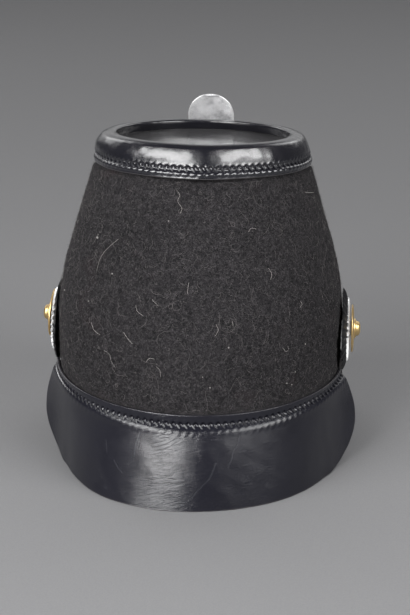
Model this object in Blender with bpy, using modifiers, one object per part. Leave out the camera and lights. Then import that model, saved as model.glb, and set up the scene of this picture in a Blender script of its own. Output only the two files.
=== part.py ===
"""Shako hat: a tapered felt body with a leather crown, a neck guard behind, a peak in front,
a badge plate at the front of the rim and a fluted cockade with a brass rosette on each side.

Metres, +Z up. The front looks along -Y, the back along +Y and the wearer's left is +X.
The hat stands on its guard and peak, with the surface at z = 0.
Angles round the hat run from the middle of the back towards the wearer's left.
"""

import math

import bmesh
import bpy
import numpy as np
from mathutils import Euler, Matrix, Vector

GAP = 0.0003                 # left between two pieces that touch
AROUND = 56                  # columns round the whole hat

# Felt body
EDGE_HEIGHT = 0.0541         # upper edge of guard and peak above the surface
FELT_HEIGHT = 0.1469         # from there to the rim, on the hat's axis
FELT_WALL = 0.0030
FELT_TUCK = 0.0050           # how far the felt runs down behind the guard and peak
BASE_HALF_WIDTH = 0.0900
BASE_HALF_DEPTH = 0.1040
TOP_HALF_WIDTH = 0.0603
TOP_HALF_DEPTH = 0.0627
CROWN_TILT = math.radians(5.0)   # the rim stands higher at the back

# Leather of the crown
CROWN_LEATHER = 0.0022
BAND_DEPTH = 0.0176          # rim to the band's raw lower edge
BAND_PROUD_LOW = 0.0006      # band's outer face beyond the felt's line at its lower edge
BAND_PROUD_TOP = 0.0026      # and under the roll
FELT_STEP = 0.0022           # height in which the felt comes out again below the band
ROLL_WIDTH = 0.0098          # the roll over the felt's top edge, side to side
ROLL_HEIGHT = 0.0040
ROLL_STEPS = 6
DISC_RECESS = 0.0062         # crown disc below the top of the roll
DISC_THICKNESS = 0.0022

# Neck guard
GUARD_LEATHER = 0.0022
GUARD_FLARE = 0.0199         # lower edge beyond the felt at the middle of the back
GUARD_SKEW = 0.0032          # bent out further on the wearer's right, by this much
GUARD_LEVEL = math.radians(57.5)
GUARD_SEAM = 0.0067          # upper edge to the bend at the middle
GUARD_SEAM_END = 0.0030

# Front peak
PEAK_LEATHER = 0.0024
PEAK_FLARE = 0.0400
PEAK_LEVEL = math.radians(27.0)
PEAK_SEAM = 0.0060
PEAK_SEAM_END = 0.0030

# Badge plate
PLATE_HALF_WIDTH = 0.0150
PLATE_ABOVE_RIM = 0.0180
PLATE_BELOW_RIM = 0.0340
PLATE_THICKNESS = 0.0012
TAB_WIDTH = 0.0105
TAB_DEPTH = 0.0026
TAB_THICKNESS = 0.0010

# Cockades and rosettes
COCKADE_RADIUS = 0.0264
COCKADE_RISE = 0.0212        # middle above EDGE_HEIGHT
COCKADE_LEAN = math.radians(1.0)
COCKADE_EDGE = 0.0009
COCKADE_DOME = 0.0058        # height of the dome's middle over its flat back
SKIRT_CLEARANCE = 0.0010     # cockade's rim to the ends of guard and peak
FLUTE_DEPTH = 0.0007
FLUTES = 30
ROSETTE_RADIUS = 0.0153
ROSETTE_HEIGHT = 0.0055
ROSETTE_SIDES = 24

# height: share of FELT_HEIGHT; spread: share of the way from the top's size to the base's size
FELT_SECTIONS = (
    # height, spread
    (0.00, 0.994),
    (0.12, 0.998),
    (0.25, 1.000),
    (0.35, 0.947),
    (0.45, 0.850),
    (0.55, 0.714),
    (0.65, 0.567),
    (0.75, 0.420),
    (0.85, 0.275),
    (0.93, 0.132),
    (1.00, 0.000),
)

# angle: share of the span from the middle to the end; flare: share of the named flare
GUARD_SECTIONS = (
    # angle, flare
    (0.00, 1.00),
    (0.27, 0.86),
    (0.55, 0.54),
    (0.72, 0.36),
    (0.86, 0.45),
    (1.00, 1.07),
)
PEAK_SECTIONS = (
    # angle, flare
    (0.00, 1.00),
    (0.25, 0.93),
    (0.50, 0.68),
    (0.75, 0.34),
    (1.00, 0.14),
)

# where the last columns of a skirt stand, as shares of the stretch whose edge rises
CORNER_SHARES = (0.85, 0.93, 0.972, 0.993)
COLUMN_ANGLE = math.radians(6.4)

# drop: share of the way from the bend to the surface; flare: share of the flare there
FLAP_PROFILE = (
    # drop, flare
    (0.00, 0.00),
    (0.04, 0.09),
    (0.10, 0.18),
    (0.22, 0.31),
    (0.45, 0.53),
    (0.72, 0.77),
    (1.00, 1.00),
)

# radius: share of ROSETTE_RADIUS; height: share of ROSETTE_HEIGHT, from the boss to the back
ROSETTE_PROFILE = (
    # radius, height
    (0.00, 1.00),
    (0.17, 0.97),
    (0.27, 0.80),
    (0.31, 0.56),
    (0.40, 0.50),
    (0.42, 0.40),
    (0.70, 0.38),
    (0.94, 0.28),
    (1.00, 0.16),
    (0.97, 0.00),
    (0.00, 0.00),
)

# radius: share of COCKADE_RADIUS, from the middle to the edge
COCKADE_RINGS = (0.30, 0.56, 0.78, 1.00)

COCKADES = (
    # side, sign of x, how far the rosette sits above the cockade's middle
    ("left", 1.0, 0.0038),
    ("right", -1.0, 0.0005),
)

# name, colour, roughness, metallic
FINISHES = (
    ("black_felt", (0.016, 0.016, 0.018), 0.95, 0.0),
    ("black_leather", (0.010, 0.010, 0.013), 0.32, 0.0),
    ("white_metal", (0.72, 0.72, 0.73), 0.30, 1.0),
    ("cockade_lacquer", (0.012, 0.012, 0.013), 0.35, 0.0),
    ("brass", (0.78, 0.52, 0.17), 0.25, 1.0),
)


def clear_scene():
    for found in list(bpy.data.objects):
        bpy.data.objects.remove(found, do_unlink=True)


def make_collection(name):
    made = bpy.data.collections.new(name)
    bpy.context.scene.collection.children.link(made)
    return made


def make_finish(name, colour, roughness, metallic):
    finish = bpy.data.materials.new(name)
    finish.use_nodes = True
    shader = finish.node_tree.nodes["Principled BSDF"]
    shader.inputs["Base Color"].default_value = (*colour, 1.0)
    shader.inputs["Roughness"].default_value = roughness
    shader.inputs["Metallic"].default_value = metallic
    return finish


def read_table(rows, at):
    """Second column at values of the first, on a smooth curve through the rows."""
    across = np.array([row[0] for row in rows])
    value = np.array([row[1] for row in rows])
    slope = np.gradient(value, across)
    at = np.clip(np.asarray(at, dtype=float), across[0], across[-1])
    left = np.clip(np.searchsorted(across, at, side="right") - 1, 0, len(rows) - 2)
    step = across[left + 1] - across[left]
    way = (at - across[left]) / step
    start = (1 + 2 * way) * (1 - way) ** 2 * value[left] + way * (1 - way) ** 2 * step * slope[left]
    end = way ** 2 * (3 - 2 * way) * value[left + 1] + way ** 2 * (way - 1) * step * slope[left + 1]
    return start + end


def felt_half_sizes(share):
    """Half width and half depth of the felt's outer face at a share of its height."""
    spread = read_table(FELT_SECTIONS, share)
    half_width = TOP_HALF_WIDTH + (BASE_HALF_WIDTH - TOP_HALF_WIDTH) * spread
    base_ratio = BASE_HALF_DEPTH / BASE_HALF_WIDTH
    top_ratio = TOP_HALF_DEPTH / TOP_HALF_WIDTH
    ratio = base_ratio + (top_ratio - base_ratio) * np.clip(share, 0.0, 1.0)
    return half_width, half_width * ratio


def wall_stretch(share):
    """How much wider a wall measures on the level than square to the leaning felt."""
    above, below = min(share + 0.02, 1.0), max(share - 0.02, 0.0)
    narrowing = felt_half_sizes(below)[1] - felt_half_sizes(above)[1]
    return math.hypot(1.0, narrowing / ((above - below) * FELT_HEIGHT))


def round_oval(angle, half_width, half_depth, out):
    """Points on a level oval, moved out along its normal."""
    across, along = np.sin(angle), np.cos(angle)
    normal_x, normal_y = across / half_width, along / half_depth
    length = np.hypot(normal_x, normal_y)
    return half_width * across + out * normal_x / length, half_depth * along + out * normal_y / length


def ring_at_share(angle, share, out):
    """Ring round the felt at a share of its height, tilted as the crown is at the top."""
    half_width, half_depth = felt_half_sizes(share)
    x, y = round_oval(angle, half_width, half_depth, out)
    z = EDGE_HEIGHT + share * FELT_HEIGHT + max(share, 0.0) * math.tan(CROWN_TILT) * y
    return np.stack([x, y, z], axis=-1)


def share_below_rim(depth):
    return 1.0 - depth / FELT_HEIGHT


def link_piece(name, mesh, finish, home, root):
    mesh.materials.append(finish)
    mesh.shade_smooth()
    mesh.set_sharp_from_angle(angle=math.radians(35))
    piece = bpy.data.objects.new(name, mesh)
    home.objects.link(piece)
    piece.parent = root
    return piece


def sheet_mesh(name, points, closed):
    """Open sheet through rows of points, lowest row first, that faces outwards."""
    rows, columns = points.shape[:2]
    number = np.arange(rows * columns).reshape(rows, columns)
    here = number if closed else number[:, :-1]
    beside = np.roll(number, -1, axis=1) if closed else number[:, 1:]
    faces = np.stack([here[:-1], here[1:], beside[1:], beside[:-1]], axis=-1).reshape(-1, 4)
    mesh = bpy.data.meshes.new(name)
    mesh.from_pydata(points.reshape(-1, 3).tolist(), [], faces.tolist())
    mesh.update()
    return mesh


def add_wall(piece, thickness):
    wall = piece.modifiers.new("wall", "SOLIDIFY")
    wall.thickness = thickness
    wall.offset = -1.0
    wall.use_even_offset = True
    return wall


def make_felt_body(finish, home, root):
    angle = np.linspace(0.0, 2 * math.pi, AROUND, endpoint=False)
    band_foot = BAND_DEPTH + CROWN_LEATHER
    step = share_below_rim(band_foot + FELT_STEP)
    rings = [(-FELT_TUCK / FELT_HEIGHT, 0.0)]
    rings += [(row[0], 0.0) for row in FELT_SECTIONS if row[0] < step - 0.02]
    rings += [(step, 0.0), (share_below_rim(band_foot), pressed_in(BAND_DEPTH))]
    rings += [(share_below_rim(depth), pressed_in(depth)) for depth in band_wall_depths()]
    points = np.stack([ring_at_share(angle, share, out) for share, out in rings])
    piece = link_piece("felt_body", sheet_mesh("felt_body", points, True), finish, home, root)
    add_wall(piece, FELT_WALL)
    return piece


def band_wall_depths():
    """Depths below the rim where both the band's wall and the felt behind it have a ring."""
    under_roll = ROLL_HEIGHT + CROWN_LEATHER / 2 + GAP
    return BAND_DEPTH, (BAND_DEPTH + under_roll) / 2, under_roll


def band_proud(depth):
    """Distance of the band's outer face beyond the felt's line, at a depth below the rim."""
    way = (BAND_DEPTH - depth) / (BAND_DEPTH - ROLL_HEIGHT)
    return BAND_PROUD_LOW + (BAND_PROUD_TOP - BAND_PROUD_LOW) * way


def pressed_in(depth):
    """Distance of the felt's outer face from its line under the band, which presses it in."""
    return band_proud(depth) - (CROWN_LEATHER + GAP) * wall_stretch(share_below_rim(BAND_DEPTH / 2))


def band_section():
    """Outer face of the crown band: (depth below the rim, distance out from the felt's line)."""
    inside = BAND_PROUD_TOP - ROLL_WIDTH
    middle = (BAND_PROUD_TOP + inside) / 2
    section = [(depth, band_proud(depth)) for depth in band_wall_depths()]
    for step in range(ROLL_STEPS + 1):
        turn = math.pi * step / ROLL_STEPS
        section.append((ROLL_HEIGHT * (1 - math.sin(turn)), middle + ROLL_WIDTH / 2 * math.cos(turn)))
    section.append((DISC_RECESS - GAP, inside))
    return section


def make_crown_band(finish, home, root):
    angle = np.linspace(0.0, 2 * math.pi, AROUND, endpoint=False)
    points = np.stack([ring_at_share(angle, share_below_rim(depth), out) for depth, out in band_section()])
    piece = link_piece("crown_band", sheet_mesh("crown_band", points, True), finish, home, root)
    add_wall(piece, CROWN_LEATHER)
    return piece


def make_crown_disc(finish, home, root):
    """Flat oval plate inside the felt's top, tilted as the rim is."""
    share = share_below_rim(DISC_RECESS)
    half_width, half_depth = felt_half_sizes(share)
    inset = FELT_WALL * wall_stretch(share) + GAP - pressed_in(DISC_RECESS)
    mesh = bpy.data.meshes.new("crown_disc")
    work = bmesh.new()
    bmesh.ops.create_cone(work, cap_ends=True, segments=AROUND, radius1=1.0, radius2=1.0, depth=1.0)
    depth_in_plane = (half_depth - inset) / math.cos(CROWN_TILT)
    bmesh.ops.scale(work, verts=work.verts, vec=(half_width - inset, depth_in_plane, DISC_THICKNESS))
    work.to_mesh(mesh)
    work.free()
    piece = link_piece("crown_disc", mesh, finish, home, root)
    top = Vector((0.0, 0.0, EDGE_HEIGHT + share * FELT_HEIGHT))
    normal = Vector((0.0, -math.sin(CROWN_TILT), math.cos(CROWN_TILT)))
    piece.location = top - normal * DISC_THICKNESS / 2
    piece.rotation_euler = (CROWN_TILT, 0.0, 0.0)
    return piece


def skirt_span():
    """Angle from the middle to the end of guard or peak, just clear of the cockade's rim."""
    across = math.sqrt(max(COCKADE_RADIUS ** 2 - COCKADE_RISE ** 2, 0.0)) + SKIRT_CLEARANCE
    return math.acos(across / BASE_HALF_DEPTH)


def skirt_points(middle, leather, flare, skew, level, seam, seam_end, sections):
    """Outer face of a leather skirt under the felt, that runs a little below the surface.

    From the bend the flap flares out; its lower edge is level in the middle and then
    rises to the ends as a quarter of an ellipse.
    """
    below = leather * 1.5
    span = skirt_span()
    level_part = np.linspace(0.0, level, math.ceil(level / COLUMN_ANGLE) + 1)
    rising = np.linspace(0.0, CORNER_SHARES[0], math.ceil((span - level) / COLUMN_ANGLE) + 1)
    rising = np.concatenate([rising[1:], CORNER_SHARES[1:]])
    away = np.concatenate([level_part, level + (span - level) * rising])
    fall = np.concatenate([np.ones_like(level_part), np.sqrt(1 - rising ** 2)])
    away = np.concatenate([-away[:0:-1], away])
    fall = np.concatenate([fall[:0:-1], fall])
    bend = seam_end + (seam - seam_end) * np.cos(away / span * math.pi / 2)
    reach = flare * read_table(sections, np.abs(away) / span) - skew * np.sin(away)
    rows = []
    for share, _ in reversed(FLAP_PROFILE):
        drop = bend + share * (EDGE_HEIGHT + below - bend) * fall
        down = (drop - bend) / (EDGE_HEIGHT - bend)
        bent = read_table(FLAP_PROFILE, down) + np.maximum(down - 1.0, 0.0)
        rows.append((drop, GAP + leather + (reach - leather) * bent))
    rows.append((bend * 0.45, np.full_like(bend, GAP + leather)))
    rows.append((np.zeros_like(bend), np.full_like(bend, GAP + leather)))
    half_width, half_depth = felt_half_sizes(0.0)
    points = []
    for drop, out in rows:
        x, y = round_oval(middle + away, half_width, half_depth, out)
        points.append(np.stack([x, y, EDGE_HEIGHT - drop], axis=-1))
    return np.stack(points)


def trim_at_surface(piece, cutter):
    trim = piece.modifiers.new("level_edge", "BOOLEAN")
    trim.operation = "DIFFERENCE"
    trim.solver = "EXACT"
    trim.object = cutter


def make_neck_guard(finish, home, root, cutter):
    points = skirt_points(0.0, GUARD_LEATHER, GUARD_FLARE, GUARD_SKEW, GUARD_LEVEL,
                          GUARD_SEAM, GUARD_SEAM_END, GUARD_SECTIONS)
    piece = link_piece("neck_guard", sheet_mesh("neck_guard", points, False), finish, home, root)
    add_wall(piece, GUARD_LEATHER)
    trim_at_surface(piece, cutter)
    return piece


def make_front_peak(finish, home, root, cutter):
    points = skirt_points(math.pi, PEAK_LEATHER, PEAK_FLARE, 0.0, PEAK_LEVEL,
                          PEAK_SEAM, PEAK_SEAM_END, PEAK_SECTIONS)
    piece = link_piece("front_peak", sheet_mesh("front_peak", points, False), finish, home, root)
    add_wall(piece, PEAK_LEATHER)
    trim_at_surface(piece, cutter)
    return piece


def make_helper(name, helpers, root):
    """Cube that only cuts or joins: it is not a piece of the hat."""
    bpy.ops.mesh.primitive_cube_add(size=1.0)
    helper = bpy.context.active_object
    helper.name = name
    for held in list(helper.users_collection):
        held.objects.unlink(helper)
    helpers.objects.link(helper)
    helper.parent = root
    helper.hide_render = True
    helper.display_type = "WIRE"
    return helper


def make_surface_cutter(helpers, root):
    size = 4 * (BASE_HALF_DEPTH + PEAK_FLARE)
    cutter = make_helper("surface_cutter", helpers, root)
    cutter.data.transform(Matrix.Translation((0.0, 0.0, -size / 2)) @ Matrix.Scale(size, 4))
    return cutter


def plate_line(depth):
    """Distance in front of the axis of the plate's outer face, straight from roll to lower end."""
    front_upper = felt_half_sizes(share_below_rim(ROLL_HEIGHT))[1] + BAND_PROUD_TOP
    front_lower = felt_half_sizes(share_below_rim(PLATE_BELOW_RIM))[1] + BAND_PROUD_LOW
    slope = (front_lower - front_upper) / (PLATE_BELOW_RIM - ROLL_HEIGHT)
    stand = (GAP + PLATE_THICKNESS) * wall_stretch(share_below_rim(ROLL_HEIGHT))
    return front_upper + slope * (depth - ROLL_HEIGHT) + stand


def plate_height(depth, y):
    share = share_below_rim(depth)
    return EDGE_HEIGHT + share * FELT_HEIGHT + share * math.tan(CROWN_TILT) * y


def make_badge_plate(finish, home, root, helpers):
    """Round-ended plate bent to the band's curve, with a small tab turned back at its top."""
    columns = np.linspace(1.0, -1.0, 9)
    ends = np.radians([8.0, 28.0, 48.0, 68.0, 90.0])
    top_rows = [(-PLATE_ABOVE_RIM + PLATE_HALF_WIDTH * (1 - math.cos(turn)), math.sin(turn)) for turn in ends]
    low_rows = [(PLATE_BELOW_RIM - PLATE_HALF_WIDTH * (1 - math.cos(turn)), math.sin(turn)) for turn in ends]
    bend_radius = felt_half_sizes(share_below_rim(BAND_DEPTH))[0] + CROWN_LEATHER
    points = []
    for depth, width in low_rows + top_rows[::-1]:
        x = PLATE_HALF_WIDTH * width * columns
        y = -plate_line(depth) + bend_radius - np.sqrt(bend_radius ** 2 - x ** 2)
        points.append(np.stack([x, y, plate_height(depth, y)], axis=-1))
    points = np.stack(points)
    piece = link_piece("badge_plate", sheet_mesh("badge_plate", points, False), finish, home, root)
    add_wall(piece, PLATE_THICKNESS)
    tab = make_plate_tab(helpers, root)
    join = piece.modifiers.new("tab", "BOOLEAN")
    join.operation = "UNION"
    join.solver = "EXACT"
    join.object = tab
    return piece


def make_plate_tab(helpers, root):
    depth = -PLATE_ABOVE_RIM + TAB_THICKNESS
    front = -plate_line(depth) + PLATE_THICKNESS / 2
    back = -plate_line(depth) + PLATE_THICKNESS + TAB_DEPTH
    tab = make_helper("plate_tab", helpers, root)
    middle = (0.0, (front + back) / 2, plate_height(depth, front))
    tab.data.transform(Matrix.Translation(middle)
                       @ Matrix.Diagonal((TAB_WIDTH, back - front, TAB_THICKNESS, 1.0)))
    return tab


def cockade_stand():
    """Distance from the axis to the middle of the cockade's flat back, which rests on the felt."""
    rises = np.linspace(-COCKADE_RADIUS, COCKADE_RADIUS, 41)
    half_widths = felt_half_sizes((COCKADE_RISE + rises) / FELT_HEIGHT)[0]
    return float(np.max(half_widths + rises * math.tan(COCKADE_LEAN))) + GAP


def side_frame(sign, rise, out):
    """Where a side ornament sits: its own +Z points out of the hat and a little up."""
    turn = Euler((0.0, sign * (math.pi / 2 - COCKADE_LEAN), 0.0)).to_matrix().to_4x4()
    place = Matrix.Translation((sign * cockade_stand(), 0.0, EDGE_HEIGHT + COCKADE_RISE))
    return place @ turn @ Matrix.Translation((-sign * rise, 0.0, out))


def cockade_height(radius, wave):
    share = radius / COCKADE_RADIUS
    dome = COCKADE_EDGE + (COCKADE_DOME - COCKADE_EDGE) * (1 - share ** 2)
    return dome - FLUTE_DEPTH * share * (1 - share ** 6) * wave


def make_cockade(side, sign, finish, home, root):
    """Fluted dome with a flat back; every second column lies in the bottom of a flute."""
    count = 2 * FLUTES
    angle = np.linspace(0.0, 2 * math.pi, count, endpoint=False)
    wave = np.tile([0.0, 1.0], FLUTES)
    mesh = bpy.data.meshes.new("cockade_" + side)
    work = bmesh.new()
    middle = work.verts.new((0.0, 0.0, COCKADE_DOME))
    rings = []
    for share in COCKADE_RINGS:
        radius = COCKADE_RADIUS * share
        levels = cockade_height(radius, wave)
        rings.append([work.verts.new((radius * math.cos(a), radius * math.sin(a), z))
                      for a, z in zip(angle, levels)])
    rings.append([work.verts.new((COCKADE_RADIUS * math.cos(a), COCKADE_RADIUS * math.sin(a), 0.0))
                  for a in angle])
    for here in range(count):
        beside = (here + 1) % count
        work.faces.new((middle, rings[0][here], rings[0][beside]))
        for inner, outer in zip(rings[:-1], rings[1:]):
            work.faces.new((inner[here], outer[here], outer[beside], inner[beside]))
    work.faces.new(rings[-1][::-1])
    work.to_mesh(mesh)
    work.free()
    piece = link_piece("cockade_" + side, mesh, finish, home, root)
    piece.matrix_local = side_frame(sign, 0.0, 0.0)
    return piece


def make_rosette(side, sign, raised, finish, home, root):
    """Turned brass disc with a stepped boss, seated on the middle of its cockade."""
    profile = [(radius * ROSETTE_RADIUS, 0.0, level * ROSETTE_HEIGHT) for radius, level in ROSETTE_PROFILE]
    edges = [(here, here + 1) for here in range(len(profile) - 1)]
    mesh = bpy.data.meshes.new("rosette_" + side)
    mesh.from_pydata(profile, edges, [])
    piece = link_piece("rosette_" + side, mesh, finish, home, root)
    turned = piece.modifiers.new("turned", "SCREW")
    turned.angle = 2 * math.pi
    turned.steps = ROSETTE_SIDES
    turned.render_steps = ROSETTE_SIDES
    turned.use_merge_vertices = True
    turned.merge_threshold = 0.00005
    piece.matrix_local = side_frame(sign, raised, COCKADE_DOME + GAP)
    return piece


def centre_on_origin(root, pieces):
    """Moves the root so that the whole hat is centred over the origin."""
    bpy.context.view_layer.update()
    depsgraph = bpy.context.evaluated_depsgraph_get()
    corners = []
    for piece in pieces:
        seen = piece.evaluated_get(depsgraph)
        corners += [seen.matrix_world @ vertex.co for vertex in seen.data.vertices]
    corners = np.array(corners)
    middle = (corners.min(axis=0) + corners.max(axis=0)) / 2
    root.location = (-middle[0], -middle[1], 0.0)
    bpy.context.view_layer.update()


def main():
    clear_scene()
    home = make_collection("shako_hat")
    helpers = make_collection("cutters")
    finish = {row[0]: make_finish(*row) for row in FINISHES}
    root = bpy.data.objects.new("hat_axis", None)
    home.objects.link(root)
    cutter = make_surface_cutter(helpers, root)
    leather = finish["black_leather"]
    pieces = [
        make_felt_body(finish["black_felt"], home, root),
        make_crown_band(leather, home, root),
        make_crown_disc(leather, home, root),
        make_neck_guard(leather, home, root, cutter),
        make_front_peak(leather, home, root, cutter),
        make_badge_plate(finish["white_metal"], home, root, helpers),
    ]
    for side, sign, raised in COCKADES:
        pieces.append(make_cockade(side, sign, finish["cockade_lacquer"], home, root))
        pieces.append(make_rosette(side, sign, raised, finish["brass"], home, root))
    centre_on_origin(root, pieces)


main()
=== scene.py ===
"""Looks for a felt shako with a sewn leather crown, neck guard and front peak.

Metres, +Z up, the back of the hat along +Y, the wearer's left along +X. Angles round the hat run
from the middle of the back towards the wearer's left. Shares of the felt's height run from its
lower edge to the rim. Each surface is a grid of points, worked out as whole arrays, lowest row
first, so that its faces point outwards.
"""
import math

import bmesh
import bpy
import numpy as np
from mathutils import Matrix, Vector


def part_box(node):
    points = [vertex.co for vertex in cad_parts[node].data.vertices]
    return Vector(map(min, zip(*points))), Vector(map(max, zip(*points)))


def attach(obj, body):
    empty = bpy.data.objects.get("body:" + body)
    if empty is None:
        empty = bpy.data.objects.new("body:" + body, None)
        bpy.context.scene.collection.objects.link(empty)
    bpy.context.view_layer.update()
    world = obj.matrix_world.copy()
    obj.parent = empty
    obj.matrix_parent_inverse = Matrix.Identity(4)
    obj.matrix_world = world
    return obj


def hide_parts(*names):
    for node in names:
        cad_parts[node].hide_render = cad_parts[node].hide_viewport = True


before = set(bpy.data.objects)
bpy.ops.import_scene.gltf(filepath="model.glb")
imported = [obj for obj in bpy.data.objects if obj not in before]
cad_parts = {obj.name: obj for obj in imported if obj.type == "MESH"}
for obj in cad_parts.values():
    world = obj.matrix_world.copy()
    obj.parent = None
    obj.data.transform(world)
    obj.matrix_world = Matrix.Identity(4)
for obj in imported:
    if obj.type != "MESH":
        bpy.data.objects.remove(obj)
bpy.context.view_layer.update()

# Where the hat's axis stands
FELT_LOW, FELT_HIGH = (np.array(corner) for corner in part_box("felt_body"))
AXIS = (FELT_LOW + FELT_HIGH)[:2] / 2

# Felt body
GAP = 0.0003
EDGE_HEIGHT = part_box("neck_guard")[1][2]
FELT_HEIGHT = 0.1469
FELT_WALL = 0.0030
FELT_TUCK = 0.0050
BASE_HALF_WIDTH = 0.0900
BASE_HALF_DEPTH = 0.1040
TOP_HALF_WIDTH = 0.0603
TOP_HALF_DEPTH = 0.0627
CROWN_TILT = math.radians(5.0)
SLANT_ROOM = 1.1             # a slanting wall's level thickness, for its own thickness

# Crown
CROWN_LEATHER = 0.0022
BAND_DEPTH = 0.0176          # rim to the band's raw lower edge
BAND_SEAM = 0.0128           # rim to its stitches
BAND_PROUD_LOW = 0.0006
BAND_PROUD_TOP = 0.0026
FELT_STEP = 0.0022
ROLL_WIDTH = 0.0098
ROLL_HEIGHT = 0.0040
ROLL_LIFT = 0.0006           # how far the leather bows over the rim
ROLL_START = 0.0016          # rim to where the wall turns over
ROLL_TOP = -0.0040           # the roll's highest line, from the felt's line
DISC_RECESS = 0.0062
DISC_THICKNESS = 0.0022

# Seams and cut edges
BAND_PITCH = 0.0043          # from stitch to stitch
SKIRT_PITCH = 0.0043
STITCH_SLANT = 0.0012        # how far each half of a stitch leans along its seam
STITCH_SINK = 0.0009         # how far its ends go into the leather
STITCH_COLUMNS = 9           # of the band's grid, to a stitch
BAND_SHEET, SKIRT_SHEET = 0.8, 0.9    # the leather's thickness, as shares of its solid's
CUT_EDGE = 0.0003            # how far a cut edge rounds out
EDGE_STEPS = 4

# Badge plate
PLATE_HALF_WIDTH = 0.0150
PLATE_ABOVE_RIM = 0.0180
PLATE_BELOW_RIM = 0.0340
PLATE_THICKNESS = 0.0012
TAB_WIDTH = 0.0105
TAB_DEPTH = 0.0026
TAB_THICKNESS = 0.0009

# Cockades
COCKADE_RADIUS = 0.0264
COCKADE_RISE = 0.0212
COCKADE_LEAN = math.radians(1.0)
COCKADE_DOME = 0.0058
COCKADE_EDGE = 0.0009
FLUTES = 30
FLUTE_COLUMNS = 12
FLUTE_DEPTH = 0.0010
SILVER_RADIUS = 0.0207       # tips of the silver ring's teeth
SILVER_TOOTH = 0.0034
ROSETTE_RADIUS = 0.0153
ROSETTE_HEIGHT = 0.0055
SIDES = (
    # side, sign of x, dome's share of its height, silver ring's step, rosette's rise, its lean
    ("left", 1.0, 0.80, 0.0014, 0.0038, math.radians(4.0)),
    ("right", -1.0, 0.88, 0.0008, 0.0005, math.radians(1.0)),
)

FELT_SECTIONS = (
    # height, spread from the top's size to the base's
    (0.00, 0.994), (0.12, 0.998), (0.25, 1.000), (0.35, 0.947), (0.45, 0.850), (0.55, 0.714),
    (0.65, 0.567), (0.75, 0.420), (0.85, 0.275), (0.93, 0.132), (1.00, 0.000),
)
FLAP_PROFILE = (
    # way from the bend to the surface, share of the flare there
    (0.00, 0.00), (0.04, 0.09), (0.10, 0.18), (0.22, 0.31), (0.45, 0.53), (0.72, 0.77), (1.00, 1.00),
)
# Sections of a skirt: way from its middle to its end, share of the flare there. The first row
# mirrors the third, so that the flare is level at the middle.
GUARD = {
    "middle": 0.0, "leather": 0.0022, "flare": 0.0199, "skew": 0.0032, "twist": 2.9,
    "level": math.radians(57.5), "seam": 0.0067, "seam_end": 0.0030,
    "sections": ((-0.27, 0.86), (0.00, 1.00), (0.27, 0.86), (0.55, 0.54), (0.72, 0.36),
                 (0.86, 0.45), (1.00, 1.07)),
}
PEAK = {
    "middle": math.pi, "leather": 0.0024, "flare": 0.0400, "skew": 0.0, "twist": 0.0,
    "level": math.radians(27.0), "seam": 0.0060, "seam_end": 0.0030,
    "sections": ((-0.25, 0.93), (0.00, 1.00), (0.25, 0.93), (0.50, 0.68), (0.75, 0.34),
                 (1.00, 0.14)),
}
SKIRT_SPAN = math.acos(
    (math.sqrt(COCKADE_RADIUS ** 2 - COCKADE_RISE ** 2) + 0.001) / BASE_HALF_DEPTH)
ROSETTE_PROFILE = (
    # radius, height, from the back to the boss, as shares of the rosette's own
    (0.00, 0.00), (0.30, 0.00), (0.32, 0.12), (0.80, 0.14), (0.97, 0.08), (1.00, 0.14),
    (0.995, 0.21), (0.955, 0.27), (0.90, 0.30), (0.70, 0.36), (0.46, 0.395), (0.425, 0.40),
    (0.41, 0.47), (0.375, 0.51), (0.325, 0.53), (0.305, 0.60), (0.295, 0.74), (0.26, 0.86),
    (0.19, 0.955), (0.10, 0.99), (0.00, 1.00),
)
FIBRES = (
    # name, count, usual length, its spread, curl, lift, points along, radius, seed
    ("felt_fibres_flat", 15500, 0.0019, 0.4, 2.4, 0.00018, 4, 0.000042, 21),
    ("felt_fibres_raised", 11500, 0.0026, 0.4, 2.4, 0.00045, 4, 0.000042, 23),
    ("felt_fibres_long", 1500, 0.0062, 0.5, 3.2, 0.0005, 12, 0.000045, 22),
)

# Camera, at the photograph's angle
CAMERA_PLACE = Vector((-0.0814 + AXIS[0], 1.0314 + AXIS[1], 0.4305))
CAMERA_PITCH = math.radians(18.404)
CAMERA_YAW = math.radians(-4.378)
CAMERA_ROLL = math.radians(0.686)
FOCAL_PIXELS = 1698.98
PHOTO_WIDTH, PHOTO_HEIGHT = 410, 615
FELT_FOOT, FELT_RISE, FELT_ROUND = 400.0, 250, 150    # rough pixels: its foot, height and radian

SOFTBOXES = (
    # name, azimuth, elevation, distance, width and height, power, height of the point it faces
    ("softbox_left", 48, 36, 1.45, (1.17, 0.52), 24, 0.09),
    ("softbox_left_low", 28, 14, 1.45, (0.82, 0.46), 18, 0.09),
    ("softbox_right", -54, 36, 1.45, (0.95, 0.52), 16.5, 0.09),
    ("wall_right", -50, 20, 1.45, (1.30, 0.60), 6.5, 0.09),
    ("wall_front", 180, 15, 2.6, (3.2, 1.1), 5.0, 0.10),
    ("softbox_front_left", 140, 30, 1.9, (0.9, 0.9), 6, 0.09),
    ("softbox_front_right", -140, 30, 1.9, (0.9, 0.9), 5, 0.09),
)

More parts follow.
